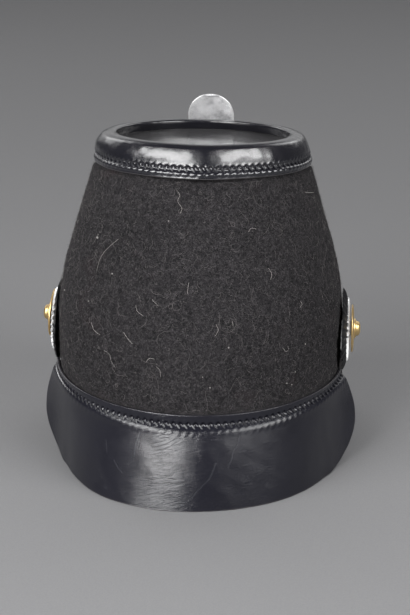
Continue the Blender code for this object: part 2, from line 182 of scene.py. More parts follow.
# Pale hairs and lint on the felt, and scratches on the guard, as paths in the photograph
LOOSE_HAIRS = (
    ((120, 238), (113, 244), (105, 252), (100, 261), (97, 272)),
    ((176, 189), (180, 195), (178, 201), (182, 208), (180, 214)),
    ((152, 299), (156, 303), (159, 306)),
    ((189, 282), (188, 288), (187.5, 294)),
    ((104, 350), (110, 354), (112, 361), (116, 368)),
    ((156, 366), (160, 370), (161, 377)),
    ((216, 324), (218, 330), (215, 336)),
    ((300, 301), (301, 304), (299, 308)),
    ((282, 347), (285, 351), (288, 349), (287, 346)),
    ((136, 305), (138, 311), (144, 316)),
    ((124, 332), (128, 338), (133, 344)),
    ((304, 192), (309, 192.5), (313, 192)),
    ((232, 321), (233, 326)),
    ((146, 362), (150, 358), (155, 359)),
    ((248, 232), (251, 228), (256, 229)),
    ((268, 268), (271, 274), (270, 280)),
    ((92, 322), (95, 330), (101, 335)),
)
LINT = (
    # across, down, size
    (98, 237.5, 1.0), (112.5, 273.5, 0.7), (168.7, 221, 0.6), (228.7, 347.5, 0.7),
    (286.5, 383, 0.6), (291.5, 384.5, 0.6), (295, 371.7, 0.5), (202.5, 377, 0.5),
    (210, 387.5, 0.6), (305, 344, 0.6), (65, 290, 0.7), (89, 301, 0.5),
)
GUARD_SCRATCHES = (
    ((240, 434), (238, 444), (233, 452), (232, 458), (228, 468)),
    ((216, 463), (210, 478), (200, 488), (190, 500)),
    ((195.5, 434), (194, 439)), ((198.5, 434), (197.5, 440)), ((202, 432), (200, 440)),
    ((140, 432), (136, 444), (134, 456)),
    ((106, 440), (107, 452)), ((114, 460), (118, 468), (122, 472)),
)
FOLDED_AT, FOLDED_WIDTH = 168.0, 24.0    # where the guard's fine creases gather, and how far
SCRATCH_WIDTH = 0.45
SCRATCH_STRENGTH = 0.11


def smooth_table(rows, at):
    """Second column at values of the first: a cubic through the rows, with neighbours' slopes."""
    across = np.array([row[0] for row in rows])
    value = np.array([row[1] for row in rows])
    slope = np.gradient(value, across)
    at = np.clip(np.asarray(at, dtype=float), across[0], across[-1])
    left = np.clip(np.searchsorted(across, at, side="right") - 1, 0, len(rows) - 2)
    step = across[left + 1] - across[left]
    way = (at - across[left]) / step
    start = (1 + 2 * way) * (1 - way) ** 2 * value[left] + way * (1 - way) ** 2 * step * slope[left]
    end = way ** 2 * (3 - 2 * way) * value[left + 1]
    return start + end + way ** 2 * (way - 1) * step * slope[left + 1]


def smooth_lines(columns, count):
    """Each column of marked values as a smooth line of count values."""
    way, fine = np.linspace(0, 1, len(columns[0])), np.linspace(0, 1, count)
    return [smooth_table(list(zip(way, column)), fine) for column in columns]


def unit(vectors):
    """Vectors divided by their lengths."""
    return vectors / np.maximum(np.linalg.norm(vectors, axis=-1, keepdims=True), 1e-12)


def hump(distance, width):
    """Bell shape: e to the minus (distance / width) squared."""
    return np.exp(-(distance / width) ** 2)


def waves(points, size, seed, count=18):
    """Unevenness of about -1 to 1: seeded sine waves of about one size, added together."""
    rng = np.random.default_rng(seed)
    heading = unit(rng.normal(size=(count, 3)))
    heading = heading * (2 * math.pi / (size * rng.uniform(0.7, 1.6, (count, 1))))
    phase = rng.uniform(0, 2 * math.pi, count)
    total = sum(np.sin(points @ way + start) for way, start in zip(heading, phase))
    return total / math.sqrt(2 * count)


def full_turn(count):
    """Angles that part a whole turn evenly, without the last."""
    return np.linspace(0, 2 * math.pi, count, endpoint=False)


def points_at(x, y, z):
    """Grid of points from coordinates that stretch to one shape."""
    return np.stack(np.broadcast_arrays(x, y, z), axis=-1)


def round_axis(x, y, z):
    """Grid of points whose x and y are measured from the hat's axis."""
    return points_at(x + AXIS[0], y + AXIS[1], z)


def felt_half_sizes(share):
    """Half width and half depth of the felt at a share of its height."""
    spread = smooth_table(FELT_SECTIONS, share)
    half_width = TOP_HALF_WIDTH + (BASE_HALF_WIDTH - TOP_HALF_WIDTH) * spread
    base_ratio = BASE_HALF_DEPTH / BASE_HALF_WIDTH
    top_ratio = TOP_HALF_DEPTH / TOP_HALF_WIDTH
    return half_width, half_width * (base_ratio + (top_ratio - base_ratio) * np.clip(share, 0, 1))


def oval(angle, half_width, half_depth, out):
    """Point on an oval round the hat's axis, moved out along the oval's normal."""
    normal_x, normal_y = np.sin(angle) / half_width, np.cos(angle) / half_depth
    length = np.hypot(normal_x, normal_y)
    x = half_width * np.sin(angle) + out * normal_x / length
    y = half_depth * np.cos(angle) + out * normal_y / length
    return x, y


def on_felt(angle, share, out):
    """Point at an angle and a share of the felt's height, at a distance out from the felt's line.

    The level rings tilt with height, as the crown does: z grows by share x tangent of the tilt x y.
    """
    x, y = oval(angle, *felt_half_sizes(share), out)
    z = EDGE_HEIGHT + share * FELT_HEIGHT + np.maximum(share, 0) * math.tan(CROWN_TILT) * y
    return round_axis(x, y, z)


def share_below_rim(depth):
    """Share of the felt's height at a depth below the rim."""
    return 1 - depth / FELT_HEIGHT


def band_proud(depth):
    """Distance of the band's outer face beyond the felt's line, growing evenly from edge to roll."""
    way = (BAND_DEPTH - depth) / (BAND_DEPTH - ROLL_HEIGHT)
    return BAND_PROUD_LOW + (BAND_PROUD_TOP - BAND_PROUD_LOW) * way


def felt_press(depth):
    """How far the felt's face moves out: 0, or inwards where the crown band presses on it."""
    pressed = band_proud(np.minimum(depth, BAND_DEPTH)) - (CROWN_LEATHER + GAP) * SLANT_ROOM
    way = np.clip((BAND_DEPTH + CROWN_LEATHER + FELT_STEP - depth) / FELT_STEP, 0, 1)
    return pressed * way * way * (3 - 2 * way)


def arc_table(half_width, half_depth):
    """Angles from the front round to the front, and the distance along the oval to each."""
    angle = np.linspace(-math.pi, math.pi, 1441)
    x, y = oval(angle, half_width, half_depth, 0.0)
    return angle, np.concatenate([[0.0], np.cumsum(np.hypot(np.diff(x), np.diff(y)))])


def angles_round(table, count):
    """Angles that part the oval into equal lengths, from the front round to the front."""
    angle, length = table
    return np.interp(np.linspace(0, length[-1], count + 1), length, angle)


def build_mesh(name, points, faces, marks=None, cut=None):
    """Mesh from points and arrays of faces with 3 or 4 corners.

    marks holds one number a point under each name; cut holds lengths along and across the
    leather at each face corner, as a UV map in metres.
    """
    mesh = bpy.data.meshes.new(name)
    corners = np.concatenate([group.reshape(-1) for group in faces]).astype(np.int32)
    sizes = np.concatenate([np.full(len(group), group.shape[1]) for group in faces])
    starts = np.concatenate([[0], np.cumsum(sizes)[:-1]]).astype(np.int32)

    def hold(layer, field, values):
        """Fills a field of a layer from an array."""
        layer.foreach_set(field, np.ascontiguousarray(values, dtype=np.float32).reshape(-1))

    mesh.vertices.add(len(points))
    hold(mesh.vertices, "co", points)
    mesh.loops.add(len(corners))
    mesh.loops.foreach_set("vertex_index", corners)
    mesh.polygons.add(len(sizes))
    mesh.polygons.foreach_set("loop_start", starts)
    mesh.update(calc_edges=True)
    for mark, values in (marks or {}).items():
        hold(mesh.attributes.new(mark, "FLOAT", "POINT").data, "value", values)
    if cut is not None:
        hold(mesh.uv_layers.new(name="cut").data, "uv", cut)
    mesh.validate()
    return mesh


def corners_of(grid):
    """Corners of each cell of a grid, so that the face points outwards."""
    cells = [grid[:-1, :-1], grid[1:, :-1], grid[1:, 1:], grid[:-1, 1:]]
    return np.stack(cells, axis=-1).reshape(-1, 4)


def grid_mesh(name, points, wrap_rows=False, wrap_columns=False, marks=None, cut=None, ends=False):
    """Mesh through a grid of points [row, column, xyz]; ends closes the first and last columns.

    cut is (length along each column line, length across each row line), with one more entry where
    the grid closes on itself.
    """
    rows, columns = points.shape[:2]
    number = np.arange(rows * columns).reshape(rows, columns)
    if wrap_rows:
        number = np.vstack([number, number[:1]])
    if wrap_columns:
        number = np.hstack([number, number[:, :1]])
    faces = [corners_of(number)]
    if cut is not None:
        along, across = np.broadcast_arrays(cut[0][None, :], cut[1][:, None])
        cell = np.arange(along.size).reshape(along.shape)
        lengths = np.stack([along.reshape(-1), across.reshape(-1)], axis=-1)
        cut = lengths[corners_of(cell)].reshape(-1, 2)
    if ends:
        first = np.arange(rows) * columns
        faces += [first[None, ::-1], (first + columns - 1)[None, :]]
        cut = np.vstack([cut, np.zeros((2 * rows, 2))])
    return build_mesh(name, points.reshape(-1, 3), faces, marks, cut)


def weld(mesh):
    """Joins points that coincide, as at a pole, and turns the faces outwards."""
    work = bmesh.new()
    work.from_mesh(mesh)
    bmesh.ops.remove_doubles(work, verts=work.verts, dist=0.000002)
    bmesh.ops.dissolve_degenerate(work, edges=work.edges, dist=0.000001)
    bmesh.ops.recalc_face_normals(work, faces=work.faces)
    work.to_mesh(mesh)
    work.free()
    return mesh


def add_object(name, data):
    """Object at the origin, in the scene."""
    thing = bpy.data.objects.new(name, data)
    bpy.context.scene.collection.objects.link(thing)
    return thing


def add_piece(mesh, materials, stands_for=(), sharp=35):
    """Object at the origin that rides with the hat and stands for the named solids."""
    for material in materials if isinstance(materials, tuple) else (materials,):
        mesh.materials.append(material)
    mesh.shade_smooth()
    mesh.set_sharp_from_angle(angle=math.radians(sharp))
    piece = add_object(mesh.name, mesh)
    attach(piece, "root")
    if stands_for:
        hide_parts(*stands_for)
    return piece


def normals_of(points, wrap_columns):
    """Outward normals of a grid: the cross product of its steps up and along."""
    up = np.gradient(points, axis=0)
    if wrap_columns:
        along = np.roll(points, -1, axis=1) - np.roll(points, 1, axis=1)
    else:
        along = np.gradient(points, axis=1)
    return unit(np.cross(up, along))


def leather_wall(outer, thickness, wrap_columns, inner_step=4):
    """Closed section through a sheet: outer face up, round the cut edge, inner face down, round again.

    Inner point = outer point - thickness x normal. A cut edge is half an ellipse round the middle
    of the wall. Returns the points and how raw the leather is at each: dyed at the upper edge,
    bare at the lower one.
    """
    inner = outer - thickness * normals_of(outer, wrap_columns)
    turn = np.linspace(0, math.pi, EDGE_STEPS + 2)[1:-1, None, None]

    def cut_edge(row, beside, start, end):
        """Half ellipse from one face's edge to the other's, away from the row beside it."""
        middle, half = (start[row] + end[row]) / 2, (start[row] - end[row]) / 2
        onward = unit(start[row] - start[beside])
        return middle + half * np.cos(turn) + onward * CUT_EDGE * np.sin(turn)

    top = cut_edge(-1, -2, outer, inner)
    bottom = cut_edge(0, 1, inner, outer)
    inside = inner[::-1][::inner_step]
    if (len(inner) - 1) % inner_step:
        inside = np.concatenate([inside, inner[:1]])
    points = np.concatenate([outer, top, inside, bottom])
    raw = np.zeros(points.shape[:2])
    raw[len(outer):len(outer) + EDGE_STEPS] = 0.3
    raw[-EDGE_STEPS:] = 1
    raw[0] = 0.6
    return points, raw


def across_lengths(points):
    """Length along a section through the middle column, from row to row and back to the first."""
    line = points[:, points.shape[1] // 2]
    steps = np.linalg.norm(np.diff(np.vstack([line, line[:1]]), axis=0), axis=1)
    return np.concatenate([[0.0], np.cumsum(steps)])


def tubes(name, paths, radii, sides, shade=None):
    """Many thin tubes along paths [tube, node, xyz], pointed at both ends.

    Round each inner node stand the sides' points: node + radius x (cosine x side + sine x up).
    """
    count, nodes = paths.shape[:2]
    forward = unit(np.gradient(paths, axis=1))
    outward = paths * [1, 1, 0] - [*AXIS, 0]
    side = unit(np.cross(forward, outward))
    up = np.cross(side, forward)
    turn = full_turn(sides)[:, None]
    spread = np.cos(turn) * side[:, 1:-1, None] + np.sin(turn) * up[:, 1:-1, None]
    radii = np.broadcast_to(radii, (count, nodes))[:, 1:-1, None, None]
    rings = (paths[:, 1:-1, None] + radii * spread).reshape(count, -1, 3)
    points = np.concatenate([paths[:, :1], rings, paths[:, -1:]], axis=1)
    each = points.shape[1]
    first = (np.arange(count) * each)[:, None, None]
    here = np.arange(sides)
    beside = (here + 1) % sides
    tip = np.stack([np.zeros_like(here), 1 + beside, 1 + here], axis=-1)
    last = 1 + (nodes - 3) * sides
    end = np.stack([np.full_like(here, each - 1), last + here, last + beside], axis=-1)
    level = 1 + np.arange(nodes - 3)[:, None] * sides
    quads = np.stack([level + here, level + beside, level + sides + beside, level + sides + here],
                     axis=-1)
    faces = [(first + np.concatenate([tip, end])[None]).reshape(-1, 3),
             (first + quads.reshape(-1, 4)[None]).reshape(-1, 4)]
    marks = None if shade is None else {"shade": np.repeat(shade, each)}
    return build_mesh(name, points.reshape(-1, 3), faces, marks)


# Photograph's camera
def camera_axes():
    """Right, up and forward of the camera: yaw and pitch, then a roll about the view."""
    yaw, pitch, roll = CAMERA_YAW, CAMERA_PITCH, CAMERA_ROLL
    forward = Vector((-math.cos(pitch) * math.sin(yaw), -math.cos(pitch) * math.cos(yaw),
                      -math.sin(pitch)))
    right = forward.cross(Vector((0, 0, 1))).normalized()
    up = right.cross(forward)
    return (math.cos(roll) * right + math.sin(roll) * up,
            math.cos(roll) * up - math.sin(roll) * right, forward)


def to_photo(points):
    """Pixel of the photograph that each point falls on."""
    right, up, forward = (np.array(axis) for axis in camera_axes())
    offset = points - np.array(CAMERA_PLACE)
    depth = offset @ forward
    return np.stack([PHOTO_WIDTH / 2 + FOCAL_PIXELS * (offset @ right) / depth,
                     PHOTO_HEIGHT / 2 - FOCAL_PIXELS * (offset @ up) / depth], axis=-1)


def felt_at_pixels(pixels):
    """Angle and share of the felt seen at pixels: six Newton steps from a rough first place."""
    angle = (PHOTO_WIDTH / 2 - pixels[:, 0]) / FELT_ROUND
    share = (FELT_FOOT - pixels[:, 1]) / FELT_RISE
    step = 1e-4
    for _ in range(6):
        seen = to_photo(on_felt(angle, share, 0.0))
        by_angle = (to_photo(on_felt(angle + step, share, 0.0)) - seen) / step
        by_share = (to_photo(on_felt(angle, share + step, 0.0)) - seen) / step
        slope = np.stack([by_angle, by_share], axis=-1)
        change = np.linalg.solve(slope, (pixels - seen)[..., None])[..., 0]
        change = np.clip(change, -0.3, 0.3)
        angle, share = angle + change[:, 0], share + change[:, 1]
    return angle, share


# Shader tools
class Nodes:
    """Node tree of a material or group, with a short way to add each kind of node used here."""

    def __init__(self, tree):
        self.tree = tree

    def join(self, node, inputs):
        """Joins a socket, or sets a plain value, at each of these inputs of a node."""
        for name, value in inputs.items():
            if isinstance(value, bpy.types.NodeSocket):
                self.tree.links.new(value, node.inputs[name])
            else:
                node.inputs[name].default_value = value

    def put(self, kind, inputs, output=0, **settings):
        """Adds a node and gives one of its outputs."""
        node = self.tree.nodes.new("ShaderNode" + kind)
        for name, value in settings.items():
            setattr(node, name, value)
        self.join(node, inputs)
        return node.outputs[output]

    def sums(self, operation, *values):
        """Arithmetic on numbers."""
        return self.put("Math", dict(enumerate(values)), operation=operation)

    def times(self, first, *others):
        """Product of all the values."""
        for other in others:
            first = self.sums("MULTIPLY", first, other)
        return first

    def most(self, first, *others):
        """Largest of the values."""
        for other in others:
            first = self.sums("MAXIMUM", first, other)
        return first

    def blend(self, *parts):
        """Sum of value x share over pairs of them."""
        total = 0.0
        for value, share in parts:
            total = self.sums("MULTIPLY_ADD", value, share, total)
        return total

    def stretch(self, value, low, high, to_low=0.0, to_high=1.0):
        """Value between low and high as one between two others, held at both ends."""
        return self.put("MapRange", {"Value": value, "From Min": low, "From Max": high,
                                     "To Min": to_low, "To Max": to_high})

    def turned(self, vector, scale, rotation=(0, 0, 0)):
        """Place scaled, then turned."""
        return self.put("Mapping", {"Vector": vector, "Scale": scale, "Rotation": rotation})

    def noise(self, vector, scale, detail=2.0, rough=0.5, twist=0.0):
        """Soft random clouds between 0 and 1."""
        return self.put("TexNoise", {"Vector": vector, "Scale": scale, "Detail": detail,
                                     "Roughness": rough, "Distortion": twist}, "Fac")

    def ridge(self, value, sharpness):
        """Thin lines where a noise crosses its middle: (1 - |2 x noise - 1|) to a power."""
        fold = self.sums("ABSOLUTE", self.sums("MULTIPLY_ADD", value, 2.0, -1.0))
        return self.sums("POWER", self.sums("SUBTRACT", 1.0, fold), sharpness)

    def mix(self, factor, first, second):
        """Colour between two, each a socket or red, green and blue."""
        first, second = (side if isinstance(side, bpy.types.NodeSocket) else (*side, 1.0)
                         for side in (first, second))
        return self.put("Mix", {0: factor, 6: first, 7: second}, 2, data_type="RGBA")

    def mark(self, name):
        """Number that the mesh holds at its points under a name, 0 where it holds none."""
        return self.put("Attribute", {}, "Fac", attribute_name=name)

    def bump(self, height, strength, distance):
        """Normal turned by a height."""
        return self.put("Bump", {"Height": height, "Strength": strength, "Distance": distance})


def new_group(name, inputs, outputs):
    """Node group with a Vector input, named number inputs and named outputs."""
    tree = bpy.data.node_groups.new(name, "ShaderNodeTree")

    def add_socket(label, way, kind):
        """Socket on the group's outside."""
        return tree.interface.new_socket(label, in_out=way, socket_type="NodeSocket" + kind)

    add_socket("Vector", "INPUT", "Vector")
    for label, value in inputs.items():
        add_socket(label, "INPUT", "Float").default_value = value
    for label in outputs:
        add_socket(label, "OUTPUT", "Float")
    return Nodes(tree), tree.nodes.new("NodeGroupInput").outputs, tree.nodes.new("NodeGroupOutput")


def make_nap_group():
    """Wool felt: curly fibres in three directions, tufts, and soft blotches."""
    n, taken, given = new_group("felt_nap", {}, ("Height", "Pale", "Blotch"))
    place = taken["Vector"]
    directions = (((1500, 420, 480), (0.3, 0.2, 0.9)), ((430, 1500, 460), (0.8, -0.4, 0.2)),
                  ((520, 430, 1600), (-0.5, 0.9, 0.4)))
    curls = n.most(*(n.ridge(n.noise(n.turned(place, scale, turn), 1.0, 1.0, 0.5, 1.4), 11.0)
                     for scale, turn in directions))
    tufts = n.noise(place, 430.0, 4.0, 0.7, 1.2)
    fine = n.noise(place, 1900.0, 2.0, 0.6)
    n.join(given, {
        "Height": n.blend((curls, 0.45), (tufts, 0.7), (fine, 0.35)),
        "Pale": n.times(curls, n.stretch(tufts, 0.38, 0.66, 0.15), n.stretch(fine, 0.3, 0.7, 0.2, 1.4)),
        "Blotch": n.stretch(n.blend((tufts, 0.55), (n.noise(place, 20.0), 0.45)), 0.34, 0.66),
    })
    return n.tree


def make_hide_group():
    """Leather: pores, creases, streaks along the cut and scuffs; Vector is the place on the hat."""
    n, taken, given = new_group("hide", {"Pores": 1200.0, "Creases": 0.3, "Streaks": 0.3},
                                ("Height", "Scuff", "Tone"))
    place, cut = taken["Vector"], n.put("UVMap", {}, uv_map="cut")
    pores = n.put("TexVoronoi", {"Vector": place, "Scale": taken["Pores"]}, "Distance",
                  feature="DISTANCE_TO_EDGE")
    slanted = n.turned(n.turned(cut, (1, 1, 1), (0, 0, 0.36)), (75, 400, 1))
    creased = n.times(n.ridge(n.noise(slanted, 1.0, 2.0, 0.5, 0.5), 6.0),
                      n.stretch(n.noise(place, 34.0, 1.0), 0.35, 0.6), n.mark("folded"),
                      taken["Creases"])
    streak = n.noise(n.turned(cut, (60, 1500, 1), (0, 0, 0.04)), 1.0, 3.0, 0.6)
    lines = n.noise(n.turned(cut, (60, 1100, 1), (0, 0, 0.06)), 1.0, 1.0, 0.5, 0.3)
    worn = n.stretch(n.noise(place, 45.0, 5.0, 0.65), 0.5, 0.75)
    n.join(given, {
        "Height": n.blend((n.stretch(pores, 0.0, 0.25), 0.22), (creased, -1.0),
                          (streak, taken["Streaks"]), (n.noise(place, 160.0, 3.0), 0.9)),
        "Scuff": n.times(n.ridge(lines, 30.0), worn),
        "Tone": n.stretch(n.noise(place, 18.0, 6.0, 0.65), 0.3, 0.7),
    })
    return n.tree


def make_metal_group():
    """Handled metal: hammered waves, hairline scratches and tarnish."""
    n, taken, given = new_group("handled_metal", {"Hammer": 160.0}, ("Height", "Line", "Tarnish"))
    place = taken["Vector"]
    lines = n.noise(n.turned(place, (300, 2600, 900), (0.2, 0.1, 0.6)), 1.0, 1.0)
    n.join(given, {
        "Height": n.noise(place, taken["Hammer"]),
        "Line": n.ridge(lines, 30.0),
        "Tarnish": n.stretch(n.noise(place, 90.0, 6.0, 0.7), 0.38, 0.68),
    })
    return n.tree


def start_material(name, group=None, values=None):
    """Material with its nodes, shader, place on the hat, and a group's outputs for its own values."""
    material = bpy.data.materials.new(name)
    material.use_nodes = True
    n = Nodes(material.node_tree)
    place = n.put("TexCoord", {}, "Object")
    used = None
    if group is not None:
        used = n.put("Group", {}, node_tree=group).node
        n.join(used, {"Vector": place, **(values or {})})
        used = used.outputs
    return material, n, n.tree.nodes["Principled BSDF"], place, used


def felt_material(nap):
    """Black wool: dark blotches, a few brown ones, and pale curls over them."""
    material, n, shader, place, used = start_material("black_wool_felt", nap)
    dark = n.mix(used["Blotch"], (0.0028, 0.0026, 0.0030), (0.0110, 0.0102, 0.0115))
    warm = n.stretch(n.noise(place, 34.0), 0.62, 0.76, 0.0, 0.6)
    dark = n.mix(warm, dark, (0.018, 0.0105, 0.0115))
    n.join(shader, {
        "Base Color": n.mix(used["Pale"], dark, (0.086, 0.080, 0.084)),
        "Roughness": 0.93,
        "Specular IOR Level": 0.15,
        "Normal": n.bump(used["Height"], 1.0, 0.0008),
    })
    return material


def fibre_material(name, dark, pale):
    """Fibre between two colours, by the shade that each fibre holds."""
    material, n, shader, _, _ = start_material(name)
    n.join(shader, {"Base Color": n.mix(n.mark("shade"), dark, pale), "Roughness": 0.7,
                    "Specular IOR Level": 0.3})
    return material


def leather_material(name, hide, grain, colours, roughness, height, gloss, polish=0.0):
    """Black leather: two tones, roughness by place, scuffs, pale scratches and a raw cut edge.

    grain is the size of its pores, its creases and its streaks.
    """
    values = dict(zip(("Pores", "Creases", "Streaks"), grain))
    material, n, shader, _, used = start_material(name, hide, values)
    raw, scratch = n.mark("raw_edge"), n.mark("scratch")
    marked = n.most(scratch, n.times(used["Scuff"], 0.18))
    colour = n.mix(marked, n.mix(used["Tone"], *colours), (0.13, 0.13, 0.14))
    cut_in = n.blend((used["Height"], 1.0), (scratch, -0.8))
    n.join(shader, {
        "Base Color": n.mix(raw, colour, (0.040, 0.037, 0.038)),
        "Specular IOR Level": gloss,
        "Coat Weight": polish,
        "Coat Roughness": 0.13,
        "Roughness": n.most(n.stretch(used["Tone"], 0.0, 1.0, *roughness), n.times(raw, 0.75),
                            n.times(marked, 0.6)),
        "Normal": n.bump(cut_in, 1.0, height),
    })
    return material


def metal_material(name, group, colours, roughness, height, values=None, metallic=1.0, gloss=0.5):
    """Metal with tarnish and lines; rubbed edges, where the piece marks them, are bare and bright;
    painted shade, where the piece marks it, darkens and roughens the metal as tarnish does.
    """
    material, n, shader, _, used = start_material(name, group, values)
    rubbed = n.mark("rubbed")
    # tarnish here also carries the painted shade under the plate's tab, where the piece marks it
    tarnish = n.times(n.most(used["Tarnish"], n.mark("painted_shade_under_tab")), n.sums("SUBTRACT", 1.0, rubbed))
    bare = [min(1.0, 1.25 * part) for part in colours[0]]
    rough = n.stretch(tarnish, 0.0, 1.0, *roughness)
    n.join(shader, {
        "Base Color": n.mix(rubbed, n.mix(tarnish, *colours), bare),
        "Roughness": n.sums("MULTIPLY_ADD", used["Line"], 0.15, rough),
        "Metallic": metallic,
        "Specular IOR Level": gloss,
        "Normal": n.bump(used["Height"], 1.0, height),
    })
    return material


# Felt
def make_felt(material):
    """Outer face: felt line + press of the band + lumps of the felt; the wall is 3 mm."""
    angle = angles_round(FELT_ARC, 400)[:-1]
    low = -FELT_TUCK / FELT_HEIGHT
    step_foot = share_below_rim(BAND_DEPTH + CROWN_LEATHER + FELT_STEP)
    top = share_below_rim(ROLL_HEIGHT + CROWN_LEATHER / 2 + 2 * GAP)
    share = np.concatenate([np.linspace(low, step_foot, 128), np.linspace(step_foot, top, 22)[1:]])
    share = share[:, None]
    flat = on_felt(angle[None], share, 0.0)
    lumps = 0.00030 * waves(flat, 0.016, 3) + 0.00016 * waves(flat, 0.006, 4)
    fade = np.clip((step_foot - share) / 0.03, 0, 1) * np.clip((share - 0.005) / 0.03, 0, 1)
    outer = on_felt(angle[None], share, felt_press((1 - share) * FELT_HEIGHT) + lumps * fade)
    points, _ = leather_wall(outer, FELT_WALL, True, inner_step=5)
    add_piece(grid_mesh("felt_wool", points, True, True), material, ["felt_body"])


def fibre_paths(count, length, spread, curl, lift, nodes, rng):
    """Fibres that wander over the felt from random roots.

    Heading = start + curl x way + two random swings; its cosine and sine, summed, give the
    distances round and up the felt. Height over the felt = a tenth of a millimetre + a bow.
    """
    way = np.linspace(0, 1, nodes)[None]
    one_each = (count, 1)
    length = rng.lognormal(math.log(length), spread, one_each)
    turn = rng.uniform(0, 2 * math.pi, one_each) + rng.normal(0, curl, one_each) * way
    swing = rng.normal(0, 0.5, one_each)
    turn = turn + swing * np.sin(2 * math.pi * way + rng.uniform(0, 6, one_each))
    round_it = np.cumsum(np.cos(turn), axis=1) * length / nodes
    up_it = np.cumsum(np.sin(turn), axis=1) * length / nodes
    top = share_below_rim(BAND_DEPTH + CROWN_LEATHER)
    share = np.clip(rng.uniform(0.0, top, one_each) + up_it / FELT_HEIGHT, 0.004, top)
    angle = np.interp(rng.uniform(0, FELT_ARC[1][-1], one_each), FELT_ARC[1], FELT_ARC[0])
    half_width, half_depth = felt_half_sizes(share)
    angle = angle + round_it / np.hypot(half_width * np.cos(angle), half_depth * np.sin(angle))
    bow = lift * rng.gamma(1.6, 0.6, one_each) * (way + 0.5 * np.sin(math.pi * way))
    return on_felt(angle, share, 0.0001 + bow)


def make_fuzz(material):
    """Curly fibres of the wool in two layers, which also break the outline, then longer hairs."""
    for name, count, length, spread, curl, lift, nodes, radius, seed in FIBRES:
        rng = np.random.default_rng(seed)
        paths = fibre_paths(count, length, spread, curl, lift, nodes, rng)
        long = name == "felt_fibres_long"
        shade = rng.uniform(0.1, 1.0, count) if long else rng.beta(1.1, 2.2, count)
        add_piece(tubes(name, paths, radius, 3, shade), material, sharp=180)


def make_loose_hairs(material):
    """Pale hairs that lie on the felt along their paths in the photograph."""
    bow = 0.0004 + 0.0003 * np.sin(math.pi * np.linspace(0, 1, 22))
    paths = np.array([on_felt(*smooth_lines(felt_at_pixels(np.array(path, dtype=float)), 22), bow)
                      for path in LOOSE_HAIRS])
    shade = np.linspace(0.6, 1.0, len(paths))
    add_piece(tubes("loose_hairs", paths, 0.00006, 4, shade), material, sharp=180)


def make_lint(material):
    """White specks: small uneven balls, half sunk in the felt where the photograph shows them."""
    marks = np.array(LINT)
    centre = on_felt(*felt_at_pixels(marks[:, :2]), 0.0003)
    turn, lift = full_turn(8), np.linspace(-math.pi / 2, math.pi / 2, 6)[:, None]
    ball = points_at(np.cos(lift) * np.sin(turn), np.cos(lift) * np.cos(turn), np.sin(lift))
    work = bmesh.new()
    for seed, (place, size) in enumerate(zip(centre, marks[:, 2])):
        uneven = 1 + 0.3 * waves(ball, 1.6, seed)[..., None]
        part = weld(grid_mesh("lint", place + ball * uneven * 0.0007 * size, False, True))
        work.from_mesh(part)
        bpy.data.meshes.remove(part)
    mesh = bpy.data.meshes.new("felt_lint")
    work.to_mesh(mesh)
    work.free()
    add_piece(mesh, material)


# Crown
def holes(run, pitch, below, aside, above, size):
    """Round pits, one a stitch: a bell of the distance to the middle of the nearest hole."""
    along = (run / pitch - aside / pitch + 0.5) % 1.0 - 0.5
    return hump(np.hypot(along * pitch, below + above), size)


def stitch_row(name, middle, place, radius, material):
    """Slanting stitches: short threads bowed over a seam, thinner by a fourth power to their ends.

    place gives the points for distances along the seam and ways of -1 to 1 across it.
    """
    way = np.linspace(-1, 1, 7)[None]
    paths = place(middle[:, None] - way * STITCH_SLANT, way)
    radii = radius * np.sqrt(np.clip(1.04 - way ** 4, 0, 1))
    add_piece(tubes(name, paths, radii, 6), material)


def band_line(depth):
    """The band's outer line: plain below the seam; above it a rounded wall, full then drawn in,
    4.0 x way - 3.4 x way squared millimetres beyond its distance at the seam."""
    way = (BAND_SEAM - depth) / (BAND_SEAM - ROLL_START)
    full = band_proud(BAND_SEAM) + 0.0040 * way - 0.0034 * way ** 2
    return np.where(depth > BAND_SEAM, band_proud(depth), full)


def band_bulge(angle):
    """How far the band stands out near the middle of the back."""
    return 0.0014 * hump(angle + 0.08, 0.22)


def band_relief(depth, run, place, angle):
    """What stands out from the band's line: a groove at the seam with a hole at each stitch, puffed
    leather on both sides that swells between stitches, a fuller left, and slow unevenness."""
    below = depth - BAND_SEAM
    swell = 0.5 - 0.5 * np.cos(2 * math.pi * (run / BAND_PITCH - below / 0.006))
    on_wall = np.clip((depth - ROLL_START) / 0.003, 0, 1)
    pits = holes(run, BAND_PITCH, below, -0.0012, 0.0014, 0.0008)
    relief = -0.0006 * hump(below, 0.0009) - 0.0010 * pits
    relief = relief + (0.00045 + 0.00045 * swell) * hump(below - 0.0023, 0.0012)
    relief = relief + 0.00030 * swell * hump(below + 0.0022, 0.0010)
    full = np.sin(np.clip(depth / BAND_SEAM, 0, 1) * math.pi)
    bulge = 0.0013 * full * hump(angle - 1.45, 0.55) + band_bulge(angle)
    slow = 0.00030 * waves(place, 0.030, 7) + 0.00010 * waves(place, 0.008, 8)
    return relief * on_wall + bulge + slow


def curve(start, corner, end, count):
    """Points on a curve that leaves start towards a corner and comes to end from it."""
    way = np.linspace(0, 1, count + 1)[1:, None]
    start, corner, end = np.array(start), np.array(corner), np.array(end)
    return (1 - way) ** 2 * start + 2 * way * (1 - way) * corner + way ** 2 * end


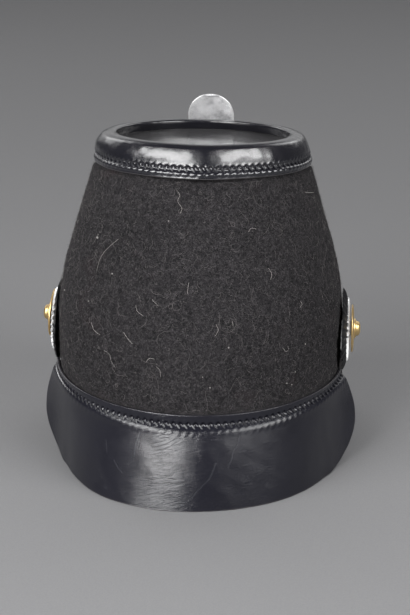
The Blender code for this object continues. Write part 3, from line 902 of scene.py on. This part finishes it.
def make_crown_band(material):
    """Band and roll in one sheet: up the outside, over the felt's top edge and down to the disc.

    Returns the number of stitches round its seam, and the lengths round the band.
    """
    rim = felt_half_sizes(share_below_rim(BAND_SEAM))
    table = arc_table(rim[0] + BAND_PROUD_LOW, rim[1] + BAND_PROUD_LOW)
    stitches = round(table[1][-1] / BAND_PITCH)
    round_it = angles_round(table, stitches * STITCH_COLUMNS)
    angle = round_it[None, :-1]
    run = np.interp(angle, *table) * BAND_PITCH * stitches / table[1][-1]
    wall = np.linspace(BAND_DEPTH, ROLL_START, 44)
    line = np.stack([wall, band_line(wall)], axis=-1)
    slope = (line[-1] - line[-2]) / (line[-1, 0] - line[-2, 0])
    crest = (-ROLL_LIFT, ROLL_TOP)
    inside = BAND_PROUD_TOP - ROLL_WIDTH
    over = curve(line[-1], line[-1] - slope * (ROLL_START + ROLL_LIFT), crest, 12)
    down = curve(crest, (-ROLL_LIFT, inside), (ROLL_HEIGHT / 2, inside), 9)
    leg = np.linspace((ROLL_HEIGHT / 2, inside), (DISC_RECESS - GAP, inside), 5)[1:]
    depth, proud = (part[:, None] for part in np.concatenate([line, over, down, leg]).T)
    share = share_below_rim(depth)
    place = on_felt(angle, share, proud)
    outer = on_felt(angle, share, proud + band_relief(depth, run, place, angle))
    points, raw = leather_wall(outer, CROWN_LEATHER * BAND_SHEET, True)
    cut = (np.interp(round_it, *table), across_lengths(points))
    mesh = grid_mesh("crown_leather", points, True, True, {"raw_edge": raw}, cut)
    add_piece(mesh, material, ["crown_band"], sharp=60)
    return stitches, table


def make_crown_stitches(material, stitches, table):
    """Stitches round the band's seam."""
    def place(run, way):
        """Thread over the seam's groove."""
        angle = np.interp(run % table[1][-1], table[1], table[0])
        depth = BAND_SEAM + way * 0.0014
        out = band_line(depth) + 0.00010 - STITCH_SINK * way ** 4 + band_bulge(angle)
        return on_felt(angle, share_below_rim(depth), out)

    middle = np.arange(stitches) * table[1][-1] / stitches
    stitch_row("crown_stitches", middle, place, 0.00052, material)


def make_disc(material):
    """Oval disc: a flat underside, a small round edge and a gently uneven, slightly dished top."""
    share = share_below_rim(DISC_RECESS)
    inset = FELT_WALL * SLANT_ROOM + GAP - felt_press(np.array(DISC_RECESS))
    half_width, half_depth = (half - inset for half in felt_half_sizes(share))
    angle = full_turn(240)[None] - math.pi
    under, over = np.linspace(0, 1, 12), np.linspace(1, 0, 60)
    reach = np.concatenate([under, over])[:, None]
    top = np.concatenate([0 * under, 0 * over + 1])[:, None]
    x, y = reach * half_width * np.sin(angle), reach * half_depth * np.cos(angle)
    place = points_at(x, y, 0 * x)
    uneven = 0.00010 * waves(place, 0.045, 11) + 0.00002 * waves(place, 0.014, 12)
    bead = 0.0003 * reach ** 6
    bead = bead + 0.0005 * hump(reach - 0.968, 0.014) * (1 + 0.4 * waves(place, 0.02, 13))
    level = top * (uneven + bead) * (reach < 0.999) - (1 - top) * DISC_THICKNESS
    z = EDGE_HEIGHT + share * FELT_HEIGHT + math.tan(CROWN_TILT) * y + level
    cut = (np.linspace(0, 0.4, 241), np.linspace(0, 0.08, 72))
    mesh = weld(grid_mesh("crown_leather_disc", round_axis(x, y, z), False, True, cut=cut))
    add_piece(mesh, material, ["crown_disc"])


# Guard and peak
def skirt_bend(skirt, away):
    """Drop from the upper edge to the bend: a cosine from the middle's seam to the end's."""
    fade = np.cos(away / SKIRT_SPAN * math.pi / 2)
    return skirt["seam_end"] + (skirt["seam"] - skirt["seam_end"]) * fade


def skirt_face(skirt, away, drop, relief=0.0):
    """Outer face of guard or peak at an angle from its middle and a drop from its upper edge.

    It stands upright to the bend. Below, out = leather + (flare at that angle - leather) x the
    flap profile, with the corner at the bend rounded over a millimetre.
    """
    bend = skirt_bend(skirt, away)
    flare = skirt["flare"] * smooth_table(skirt["sections"], np.abs(away) / SKIRT_SPAN)
    reach = flare - skirt["skew"] * np.sin(away)
    past = drop - bend
    rounded = (past + np.sqrt(past ** 2 + 0.0008 ** 2)) / 2
    profile = smooth_table(FLAP_PROFILE, rounded / (EDGE_HEIGHT - bend))
    out = GAP + skirt["leather"] + (reach - skirt["leather"]) * profile
    x, y = oval(skirt["middle"] + away, *felt_half_sizes(0.0), out + relief)
    return round_axis(x, y, EDGE_HEIGHT - drop)


def skirt_relief(skirt, place, run, below):
    """Groove along the stitches, leather that puffs up between them just below, slow dents and a
    twist: twist x distance along x distance down, both from the twist's middle, fading along."""
    swell = 0.5 - 0.5 * np.cos(2 * math.pi * (run / SKIRT_PITCH - below / 0.008))
    pits = holes(run, SKIRT_PITCH, below, -0.0014, 0.0013, 0.0010)
    relief = -0.0005 * hump(below, 0.0010) - 0.0014 * pits
    relief = relief + (0.0004 + 0.0002 * swell) * hump(below - 0.0030, 0.0021)
    aside = run - 0.010
    twist = skirt["twist"] * aside * (below - 0.016) * hump(aside, 0.045)
    dents = 0.00030 * waves(place, 0.045, 31) + 0.00010 * waves(place, 0.013, 32)
    return relief + np.clip(below / 0.012, 0, 1) * (twist + dents)


def skirt_columns(skirt, level_columns, end_columns):
    """Angles from the middle, and how far the flap comes down there: all the way, then along a
    quarter of an ellipse, which the sine and cosine of one turn give with no sharp step."""
    level = np.linspace(-skirt["level"], skirt["level"], level_columns)
    turn = np.linspace(0, math.pi / 2, end_columns + 1)[1:]
    end = skirt["level"] + (SKIRT_SPAN - skirt["level"]) * np.sin(turn)
    away = np.concatenate([-end[::-1], level, end])
    fall = np.concatenate([np.cos(turn)[::-1], np.ones_like(level), np.cos(turn)])
    return away, np.maximum(fall, 0.0)


def scratch_marks(seen, scratches):
    """Strength of the scratches at pixels: a bell of the distance to the nearest line."""
    nearest = np.full(seen.shape[:-1], 99.0)
    for marked in scratches:
        path = np.stack(smooth_lines(list(zip(*marked)), 9), axis=-1)
        for start, along in zip(path[:-1], np.diff(path, axis=0)):
            share = np.clip(((seen - start) @ along) / (along @ along), 0, 1)
            away = np.linalg.norm(seen - start - share[..., None] * along, axis=-1)
            nearest = np.minimum(nearest, away)
    return SCRATCH_STRENGTH * hump(nearest, SCRATCH_WIDTH)


def make_skirt(name, skirt, material, stands_for, columns, rows, scratches=()):
    """Leather skirt with its flange, seam, flap and cut edges, closed at both ends."""
    away, fall = skirt_columns(skirt, *columns)
    run = np.interp(away, *SKIRT_ARC) - SKIRT_MIDDLE
    bend = skirt_bend(skirt, away)
    way = np.linspace(1, 0, rows)[:, None] ** 1.25
    flap = bend + way * (EDGE_HEIGHT - bend) * fall
    flange = np.linspace(1, 0, 15)[1:, None] * bend
    drop = np.vstack([flap, flange])
    place = skirt_face(skirt, away[None], drop)
    relief = skirt_relief(skirt, place, run[None], drop - bend)
    outer = skirt_face(skirt, away[None], drop, relief)
    points, raw = leather_wall(outer, skirt["leather"] * SKIRT_SHEET, False)
    points[..., 2] = np.maximum(points[..., 2], 0.0)
    scratch, folded = np.zeros(raw.shape), np.full(raw.shape, 0.2)
    if scratches:
        seen = to_photo(points[:len(outer)])
        scratch[:len(outer)] = scratch_marks(seen, scratches)
        folded[:len(outer)] = 0.15 + hump(seen[..., 0] - FOLDED_AT, FOLDED_WIDTH)
    marks = {"raw_edge": raw, "scratch": scratch, "folded": folded}
    mesh = grid_mesh(name, points, True, False, marks, (run, across_lengths(points)), ends=True)
    add_piece(mesh, material, stands_for, sharp=60)


def make_skirt_stitches(name, skirt, material):
    """Stitches along the bend, from end to end of the skirt."""
    def place(run, way):
        """Thread over the bend."""
        away = np.interp(run + SKIRT_MIDDLE, SKIRT_ARC[1], SKIRT_ARC[0])
        away = np.clip(away, -SKIRT_SPAN * 0.99, SKIRT_SPAN * 0.99)
        drop = skirt_bend(skirt, away) + way * 0.0015
        return skirt_face(skirt, away, drop, 0.00015 - STITCH_SINK * way ** 4)

    half = np.interp(SKIRT_SPAN * 0.985, *SKIRT_ARC) - SKIRT_MIDDLE
    count = 2 * int(half / SKIRT_PITCH) + 1
    middle = (np.arange(count) - (count - 1) / 2) * SKIRT_PITCH
    stitch_row(name, middle, place, 0.00055, material)


# Plate
def plate_line(depth):
    """Distance in front of the axis of the plate's outer face, straight from roll to lower end."""
    upper = felt_half_sizes(share_below_rim(ROLL_HEIGHT))[1] + BAND_PROUD_TOP
    lower = felt_half_sizes(share_below_rim(PLATE_BELOW_RIM))[1] + BAND_PROUD_LOW
    slope = (lower - upper) / (PLATE_BELOW_RIM - ROLL_HEIGHT)
    return upper + slope * (depth - ROLL_HEIGHT) + (GAP + PLATE_THICKNESS) * SLANT_ROOM


def plate_place(x, depth):
    """Point of the plate: bent round the front as an arc about the hat's axis, tilted as the crown."""
    radius = felt_half_sizes(share_below_rim(BAND_DEPTH))[0] + CROWN_LEATHER
    y = -plate_line(depth) + radius - np.sqrt(radius ** 2 - x ** 2)
    share = share_below_rim(depth)
    return round_axis(x, y, EDGE_HEIGHT + share * FELT_HEIGHT + share * math.tan(CROWN_TILT) * y)


def give_wall(piece, thickness, edge):
    """Thickness behind the sheet's face, and edges rounded by a small bevel."""
    wall = piece.modifiers.new("wall", "SOLIDIFY")
    wall.thickness, wall.offset = thickness, -1.0
    soft = piece.modifiers.new("soft_edge", "BEVEL")
    soft.width, soft.segments, soft.limit_method = edge, 2, "ANGLE"


def make_plate(material):
    """Plate with round ends: each row's half width is the sine of its turn round the end."""
    turn = np.linspace(math.radians(3), math.pi / 2, 26)
    end = PLATE_HALF_WIDTH * (1 - np.cos(turn))
    low, high = PLATE_BELOW_RIM - PLATE_HALF_WIDTH, -PLATE_ABOVE_RIM + PLATE_HALF_WIDTH
    straight = np.linspace(low, high, 26)[1:-1]
    depth = np.concatenate([PLATE_BELOW_RIM - end, straight, (-PLATE_ABOVE_RIM + end)[::-1]])
    depth = depth[:, None]
    width = np.concatenate([np.sin(turn), np.ones_like(straight), np.sin(turn)[::-1]])[:, None]
    x = PLATE_HALF_WIDTH * width * np.sin(np.linspace(math.pi / 2, -math.pi / 2, 41))[None]
    place = plate_place(x, depth)
    place[..., 1] += 0.00022 * waves(place, 0.012, 41)
    from_end = np.minimum(PLATE_BELOW_RIM - depth, PLATE_ABOVE_RIM + depth)
    from_edge = np.minimum(PLATE_HALF_WIDTH * width - np.abs(x), from_end)
    # painted shade under the tab: a darker, duller patch on the plate where the curled tab shades it
    under_tab = np.hypot(x, depth + PLATE_ABOVE_RIM - 0.0060)
    marks = {"rubbed": hump(from_edge, 0.0007),
             "painted_shade_under_tab": hump(under_tab, 0.0042) * (0.8 + 0.3 * waves(place, 0.004, 42))}
    mesh = grid_mesh("badge_plate_metal", place, marks=marks)
    piece = add_piece(mesh, material, ["badge_plate"], sharp=60)
    give_wall(piece, PLATE_THICKNESS, 0.00035)


def make_plate_tab(material):
    """Strip at the plate's top that curls back over its edge: an arc of about half a turn."""
    turn = np.linspace(-0.35, math.pi * 0.80, 16)[:, None]
    across = np.linspace(1, -1, 13)[None]
    top = plate_place(np.zeros(1), -PLATE_ABOVE_RIM + 0.0014)[0]
    x = TAB_WIDTH / 2 * across * (1 - 0.10 * hump(turn - turn[-1], 0.35))
    back = TAB_DEPTH / 2 * (1 - np.cos(turn)) - PLATE_THICKNESS * 0.2
    points = points_at(x + top[0], top[1] + back, top[2] + 0.0008 * np.sin(turn))
    piece = add_piece(grid_mesh("badge_plate_tab", points), material, sharp=60)
    give_wall(piece, TAB_THICKNESS, 0.0002)


# Cockades
def side_frame(sign, raised, out, lean=COCKADE_LEAN):
    """Where a side ornament sits: its own +Z points out of the hat and, by its lean, up."""
    rises = np.linspace(-COCKADE_RADIUS, COCKADE_RADIUS, 41)
    half_widths = felt_half_sizes((COCKADE_RISE + rises) / FELT_HEIGHT)[0]
    stand = float(np.max(half_widths + rises * math.tan(COCKADE_LEAN))) + GAP
    turn = Matrix.Rotation(sign * (math.pi / 2 - lean), 4, "Y")
    place = Matrix.Translation((sign * stand + AXIS[0], AXIS[1], EDGE_HEIGHT + COCKADE_RISE))
    return place @ turn @ Matrix.Translation((-sign * raised, 0.0, out))


def turned_points(radius, level, angle):
    """Grid of a turned shape: radius and level by row, angle by column."""
    return points_at(radius * np.sin(angle), radius * np.cos(angle), level)


def make_cockade(name, sign, dome_share, step, materials, stands_for):
    """Fluted dome. Height = edge + dome x (1 - fourth power of share) - flutes; the silver ring is a
    step up whose outline is a row of teeth, one to a flute."""
    angle = full_turn(FLUTES * FLUTE_COLUMNS)[None]
    share = np.concatenate([np.linspace(1, 0.45, 78), [0.25, 0.0]])[:, None]
    beat = FLUTES * angle
    scallop = 1 - 0.016 * (0.5 - 0.5 * np.cos(beat)) * hump(share - 1, 0.06)
    radius = share * COCKADE_RADIUS
    tooth = np.abs(((beat / math.pi) % 2) - 1)
    way = np.clip((SILVER_RADIUS - SILVER_TOOTH * tooth - radius) / 0.0007, 0, 1)
    silver = way * (2 - way)
    dome = COCKADE_EDGE + (COCKADE_DOME * dome_share - step - COCKADE_EDGE) * (1 - share ** 4)
    flute = FLUTE_DEPTH * (np.abs(np.cos(beat / 2)) ** 1.5) * share * (1 - 0.5 * silver)
    face = turned_points(radius * scallop, dome - flute + step * silver, angle)
    rim = turned_points(COCKADE_RADIUS * scallop[:1], 0.0, angle)
    back = turned_points(np.array([[0.0], [0.5]]) * COCKADE_RADIUS, 0.0, angle)
    mesh = grid_mesh(name, np.concatenate([back, rim, face]), False, True)
    bright = (silver[:-1] + silver[1:]) / 2 > 0.12
    zone = np.vstack([np.zeros((3, angle.size), dtype=int), bright])
    mesh.polygons.foreach_set("material_index", zone.reshape(-1).astype(np.int32))
    mesh.transform(side_frame(sign, 0.0, 0.0))
    add_piece(weld(mesh), materials, stands_for, sharp=50)


def make_rosette(name, sign, dome_share, raised, lean, material, stands_for):
    """Turned disc with a stepped boss: the profile's points carried round. Below the boss it is let
    down by as much as the dome under it is lower."""
    rows = np.array(ROSETTE_PROFILE)
    way = np.linspace(0, 1, len(rows))
    fine = np.linspace(0, 1, 3 * (len(rows) - 1) + 1)
    radius, level = (np.interp(fine, way, column)[:, None] for column in rows.T)
    let_down = COCKADE_DOME * (1 - dome_share) * (1 - np.clip((level - 0.4) / 0.2, 0, 1))
    points = turned_points(radius * ROSETTE_RADIUS, level * ROSETTE_HEIGHT - let_down,
                           full_turn(96)[None])
    mesh = grid_mesh(name, points, False, True)
    mesh.transform(side_frame(sign, raised, COCKADE_DOME + GAP, lean))
    add_piece(weld(mesh), material, stands_for, sharp=28)


# Floor, light and camera
def make_floor():
    """Pale paper floor with a very fine tooth, just under the hat."""
    mesh = bpy.data.meshes.new("floor")
    size, low = 9.0, -0.0002
    corners = [(-size, -size, low), (size, -size, low), (size, size, low), (-size, size, low)]
    mesh.from_pydata(corners, [], [(0, 1, 2, 3)])
    material, n, shader, place, _ = start_material("pale_paper")
    grain = n.noise(place, 900.0, 3.0, 0.6)
    n.join(shader, {
        "Base Color": n.mix(n.stretch(grain, 0.3, 0.7), (0.145, 0.145, 0.148), (0.160, 0.160, 0.163)),
        "Roughness": 0.85,
        "Specular IOR Level": 0.2,
        "Normal": n.bump(grain, 0.3, 0.0004),
    })
    mesh.materials.append(material)
    floor = add_object("floor", mesh)


def add_softbox(name, azimuth, elevation, distance, size, power, aim_height):
    """Rectangular light that faces the hat; azimuth runs from the camera to the picture's left."""
    turn, lift = math.radians(azimuth) + CAMERA_YAW, math.radians(elevation)
    away = Vector((math.cos(lift) * math.sin(turn), math.cos(lift) * math.cos(turn), math.sin(lift)))
    data = bpy.data.lights.new(name, "AREA")
    data.shape = "RECTANGLE"
    data.size, data.size_y = size
    data.energy = power
    facing = away.to_track_quat("Z", "Y").to_matrix().to_4x4()
    place = Vector((*AXIS, aim_height)) + distance * away
    add_object(name, data).matrix_world = Matrix.Translation(place) @ facing


def make_light():
    """Softboxes on both sides of the camera and weaker ones from the hat's front; a wide soft
    ceiling light from the front lifts the floor and isn't mirrored."""
    for softbox in SOFTBOXES:
        add_softbox(*softbox)
    data = bpy.data.lights.new("ceiling", "SUN")
    data.energy, data.angle = 1.3, math.radians(80)
    lamp = add_object("ceiling", data)
    lamp.rotation_euler = (math.radians(38), 0.0, 0.0)
    lamp.visible_glossy = False
    world = bpy.data.worlds.new("studio")
    world.use_nodes = True
    background = world.node_tree.nodes["Background"]
    background.inputs["Color"].default_value = (0.095, 0.095, 0.10, 1)
    bpy.context.scene.world = world


def make_camera():
    """Camera at the photograph's place, with a lens that gives its focal length in pixels."""
    right, up, forward = camera_axes()
    data = bpy.data.cameras.new("camera")
    data.sensor_fit = "VERTICAL"
    data.sensor_height = 36.0
    data.lens = FOCAL_PIXELS / PHOTO_HEIGHT * data.sensor_height
    data.clip_start = 0.01
    camera = add_object("camera", data)
    turn = Matrix((right, up, -forward)).transposed().to_4x4()
    camera.matrix_world = Matrix.Translation(CAMERA_PLACE) @ turn
    bpy.context.scene.camera = camera


# Lengths round the felt at its widest, and round its lower edge, where guard and peak sit
FELT_ARC = arc_table(BASE_HALF_WIDTH, BASE_HALF_DEPTH)
SKIRT_ARC = arc_table(*felt_half_sizes(0.0))
SKIRT_MIDDLE = np.interp(0.0, *SKIRT_ARC)


def main():
    """Materials, then the hat's pieces from felt to rosettes, then floor, light and camera."""
    hide, metal = make_hide_group(), make_metal_group()
    fibre = fibre_material("wool_fibre", (0.004, 0.004, 0.005), (0.235, 0.218, 0.212))
    pale = fibre_material("pale_hair", (0.22, 0.21, 0.20), (0.55, 0.52, 0.50))
    skirt_leather = leather_material(
        "guard_leather", hide, (1300.0, 0.7, 0.25),
        ((0.0040, 0.0040, 0.0072), (0.0078, 0.0078, 0.0120)), (0.17, 0.27), 0.00014, 0.48)
    crown_leather = leather_material(
        "crown_leather", hide, (1500.0, 0.2, 0.2),
        ((0.0030, 0.0030, 0.0050), (0.006, 0.006, 0.009)), (0.16, 0.25), 0.00010, 0.6, 0.45)
    # The disc leather's two grey tones are far paler than the other black leathers: painted sheen of
    # the glossy disc seen at a grazing angle, on top of its real gloss
    disc_leather_painted_sheen = leather_material(
        "disc_leather_painted_sheen", hide, (1500.0, 0.0, 0.0),
        ((0.056, 0.0552, 0.056), (0.063, 0.062, 0.063)), (0.10, 0.14), 0.00001, 0.7, 0.5)
    thread = leather_material(
        "waxed_thread", hide, (3000.0, 0.0, 0.0),
        ((0.012, 0.012, 0.015), (0.024, 0.024, 0.028)), (0.24, 0.34), 0.00006, 0.8)
    silver = metal_material(
        "white_metal", metal, ((0.97, 0.97, 0.98), (0.30, 0.30, 0.31)), (0.38, 0.62), 0.0003,
        metallic=0.8)
    plated = metal_material(
        "silver_ring", metal, ((0.84, 0.84, 0.84), (0.66, 0.66, 0.66)), (0.40, 0.52), 0.0001,
        {"Hammer": 500.0}, metallic=0.7)
    lacquer = metal_material(
        "cockade_lacquer", metal, ((0.004, 0.004, 0.0045), (0.009, 0.009, 0.010)), (0.34, 0.50),
        0.0001, {"Hammer": 500.0}, metallic=0.0, gloss=0.25)
    brass = metal_material(
        "rosette_brass", metal, ((0.76, 0.56, 0.27), (0.56, 0.38, 0.15)), (0.33, 0.46), 0.00012)

    make_felt(felt_material(make_nap_group()))
    make_fuzz(fibre)
    make_loose_hairs(pale)
    make_lint(pale)
    make_crown_stitches(thread, *make_crown_band(crown_leather))
    make_disc(disc_leather_painted_sheen)
    make_skirt("guard_leather", GUARD, skirt_leather, ["neck_guard"], (400, 110), 84,
               GUARD_SCRATCHES)
    make_skirt_stitches("guard_stitches", GUARD, thread)
    make_skirt("peak_leather", PEAK, skirt_leather, ["front_peak"], (240, 130), 70)
    make_skirt_stitches("peak_stitches", PEAK, thread)
    make_plate(silver)
    make_plate_tab(silver)
    for side, sign, share, step, raised, lean in SIDES:
        make_cockade("cockade_dome_" + side, sign, share, step, (lacquer, plated),
                     ["cockade_" + side])
        make_rosette("rosette_brass_" + side, sign, share, raised, lean, brass,
                     ["rosette_" + side])
    make_floor()
    make_light()
    make_camera()
    bpy.context.scene.view_settings.view_transform = "Standard"


main()
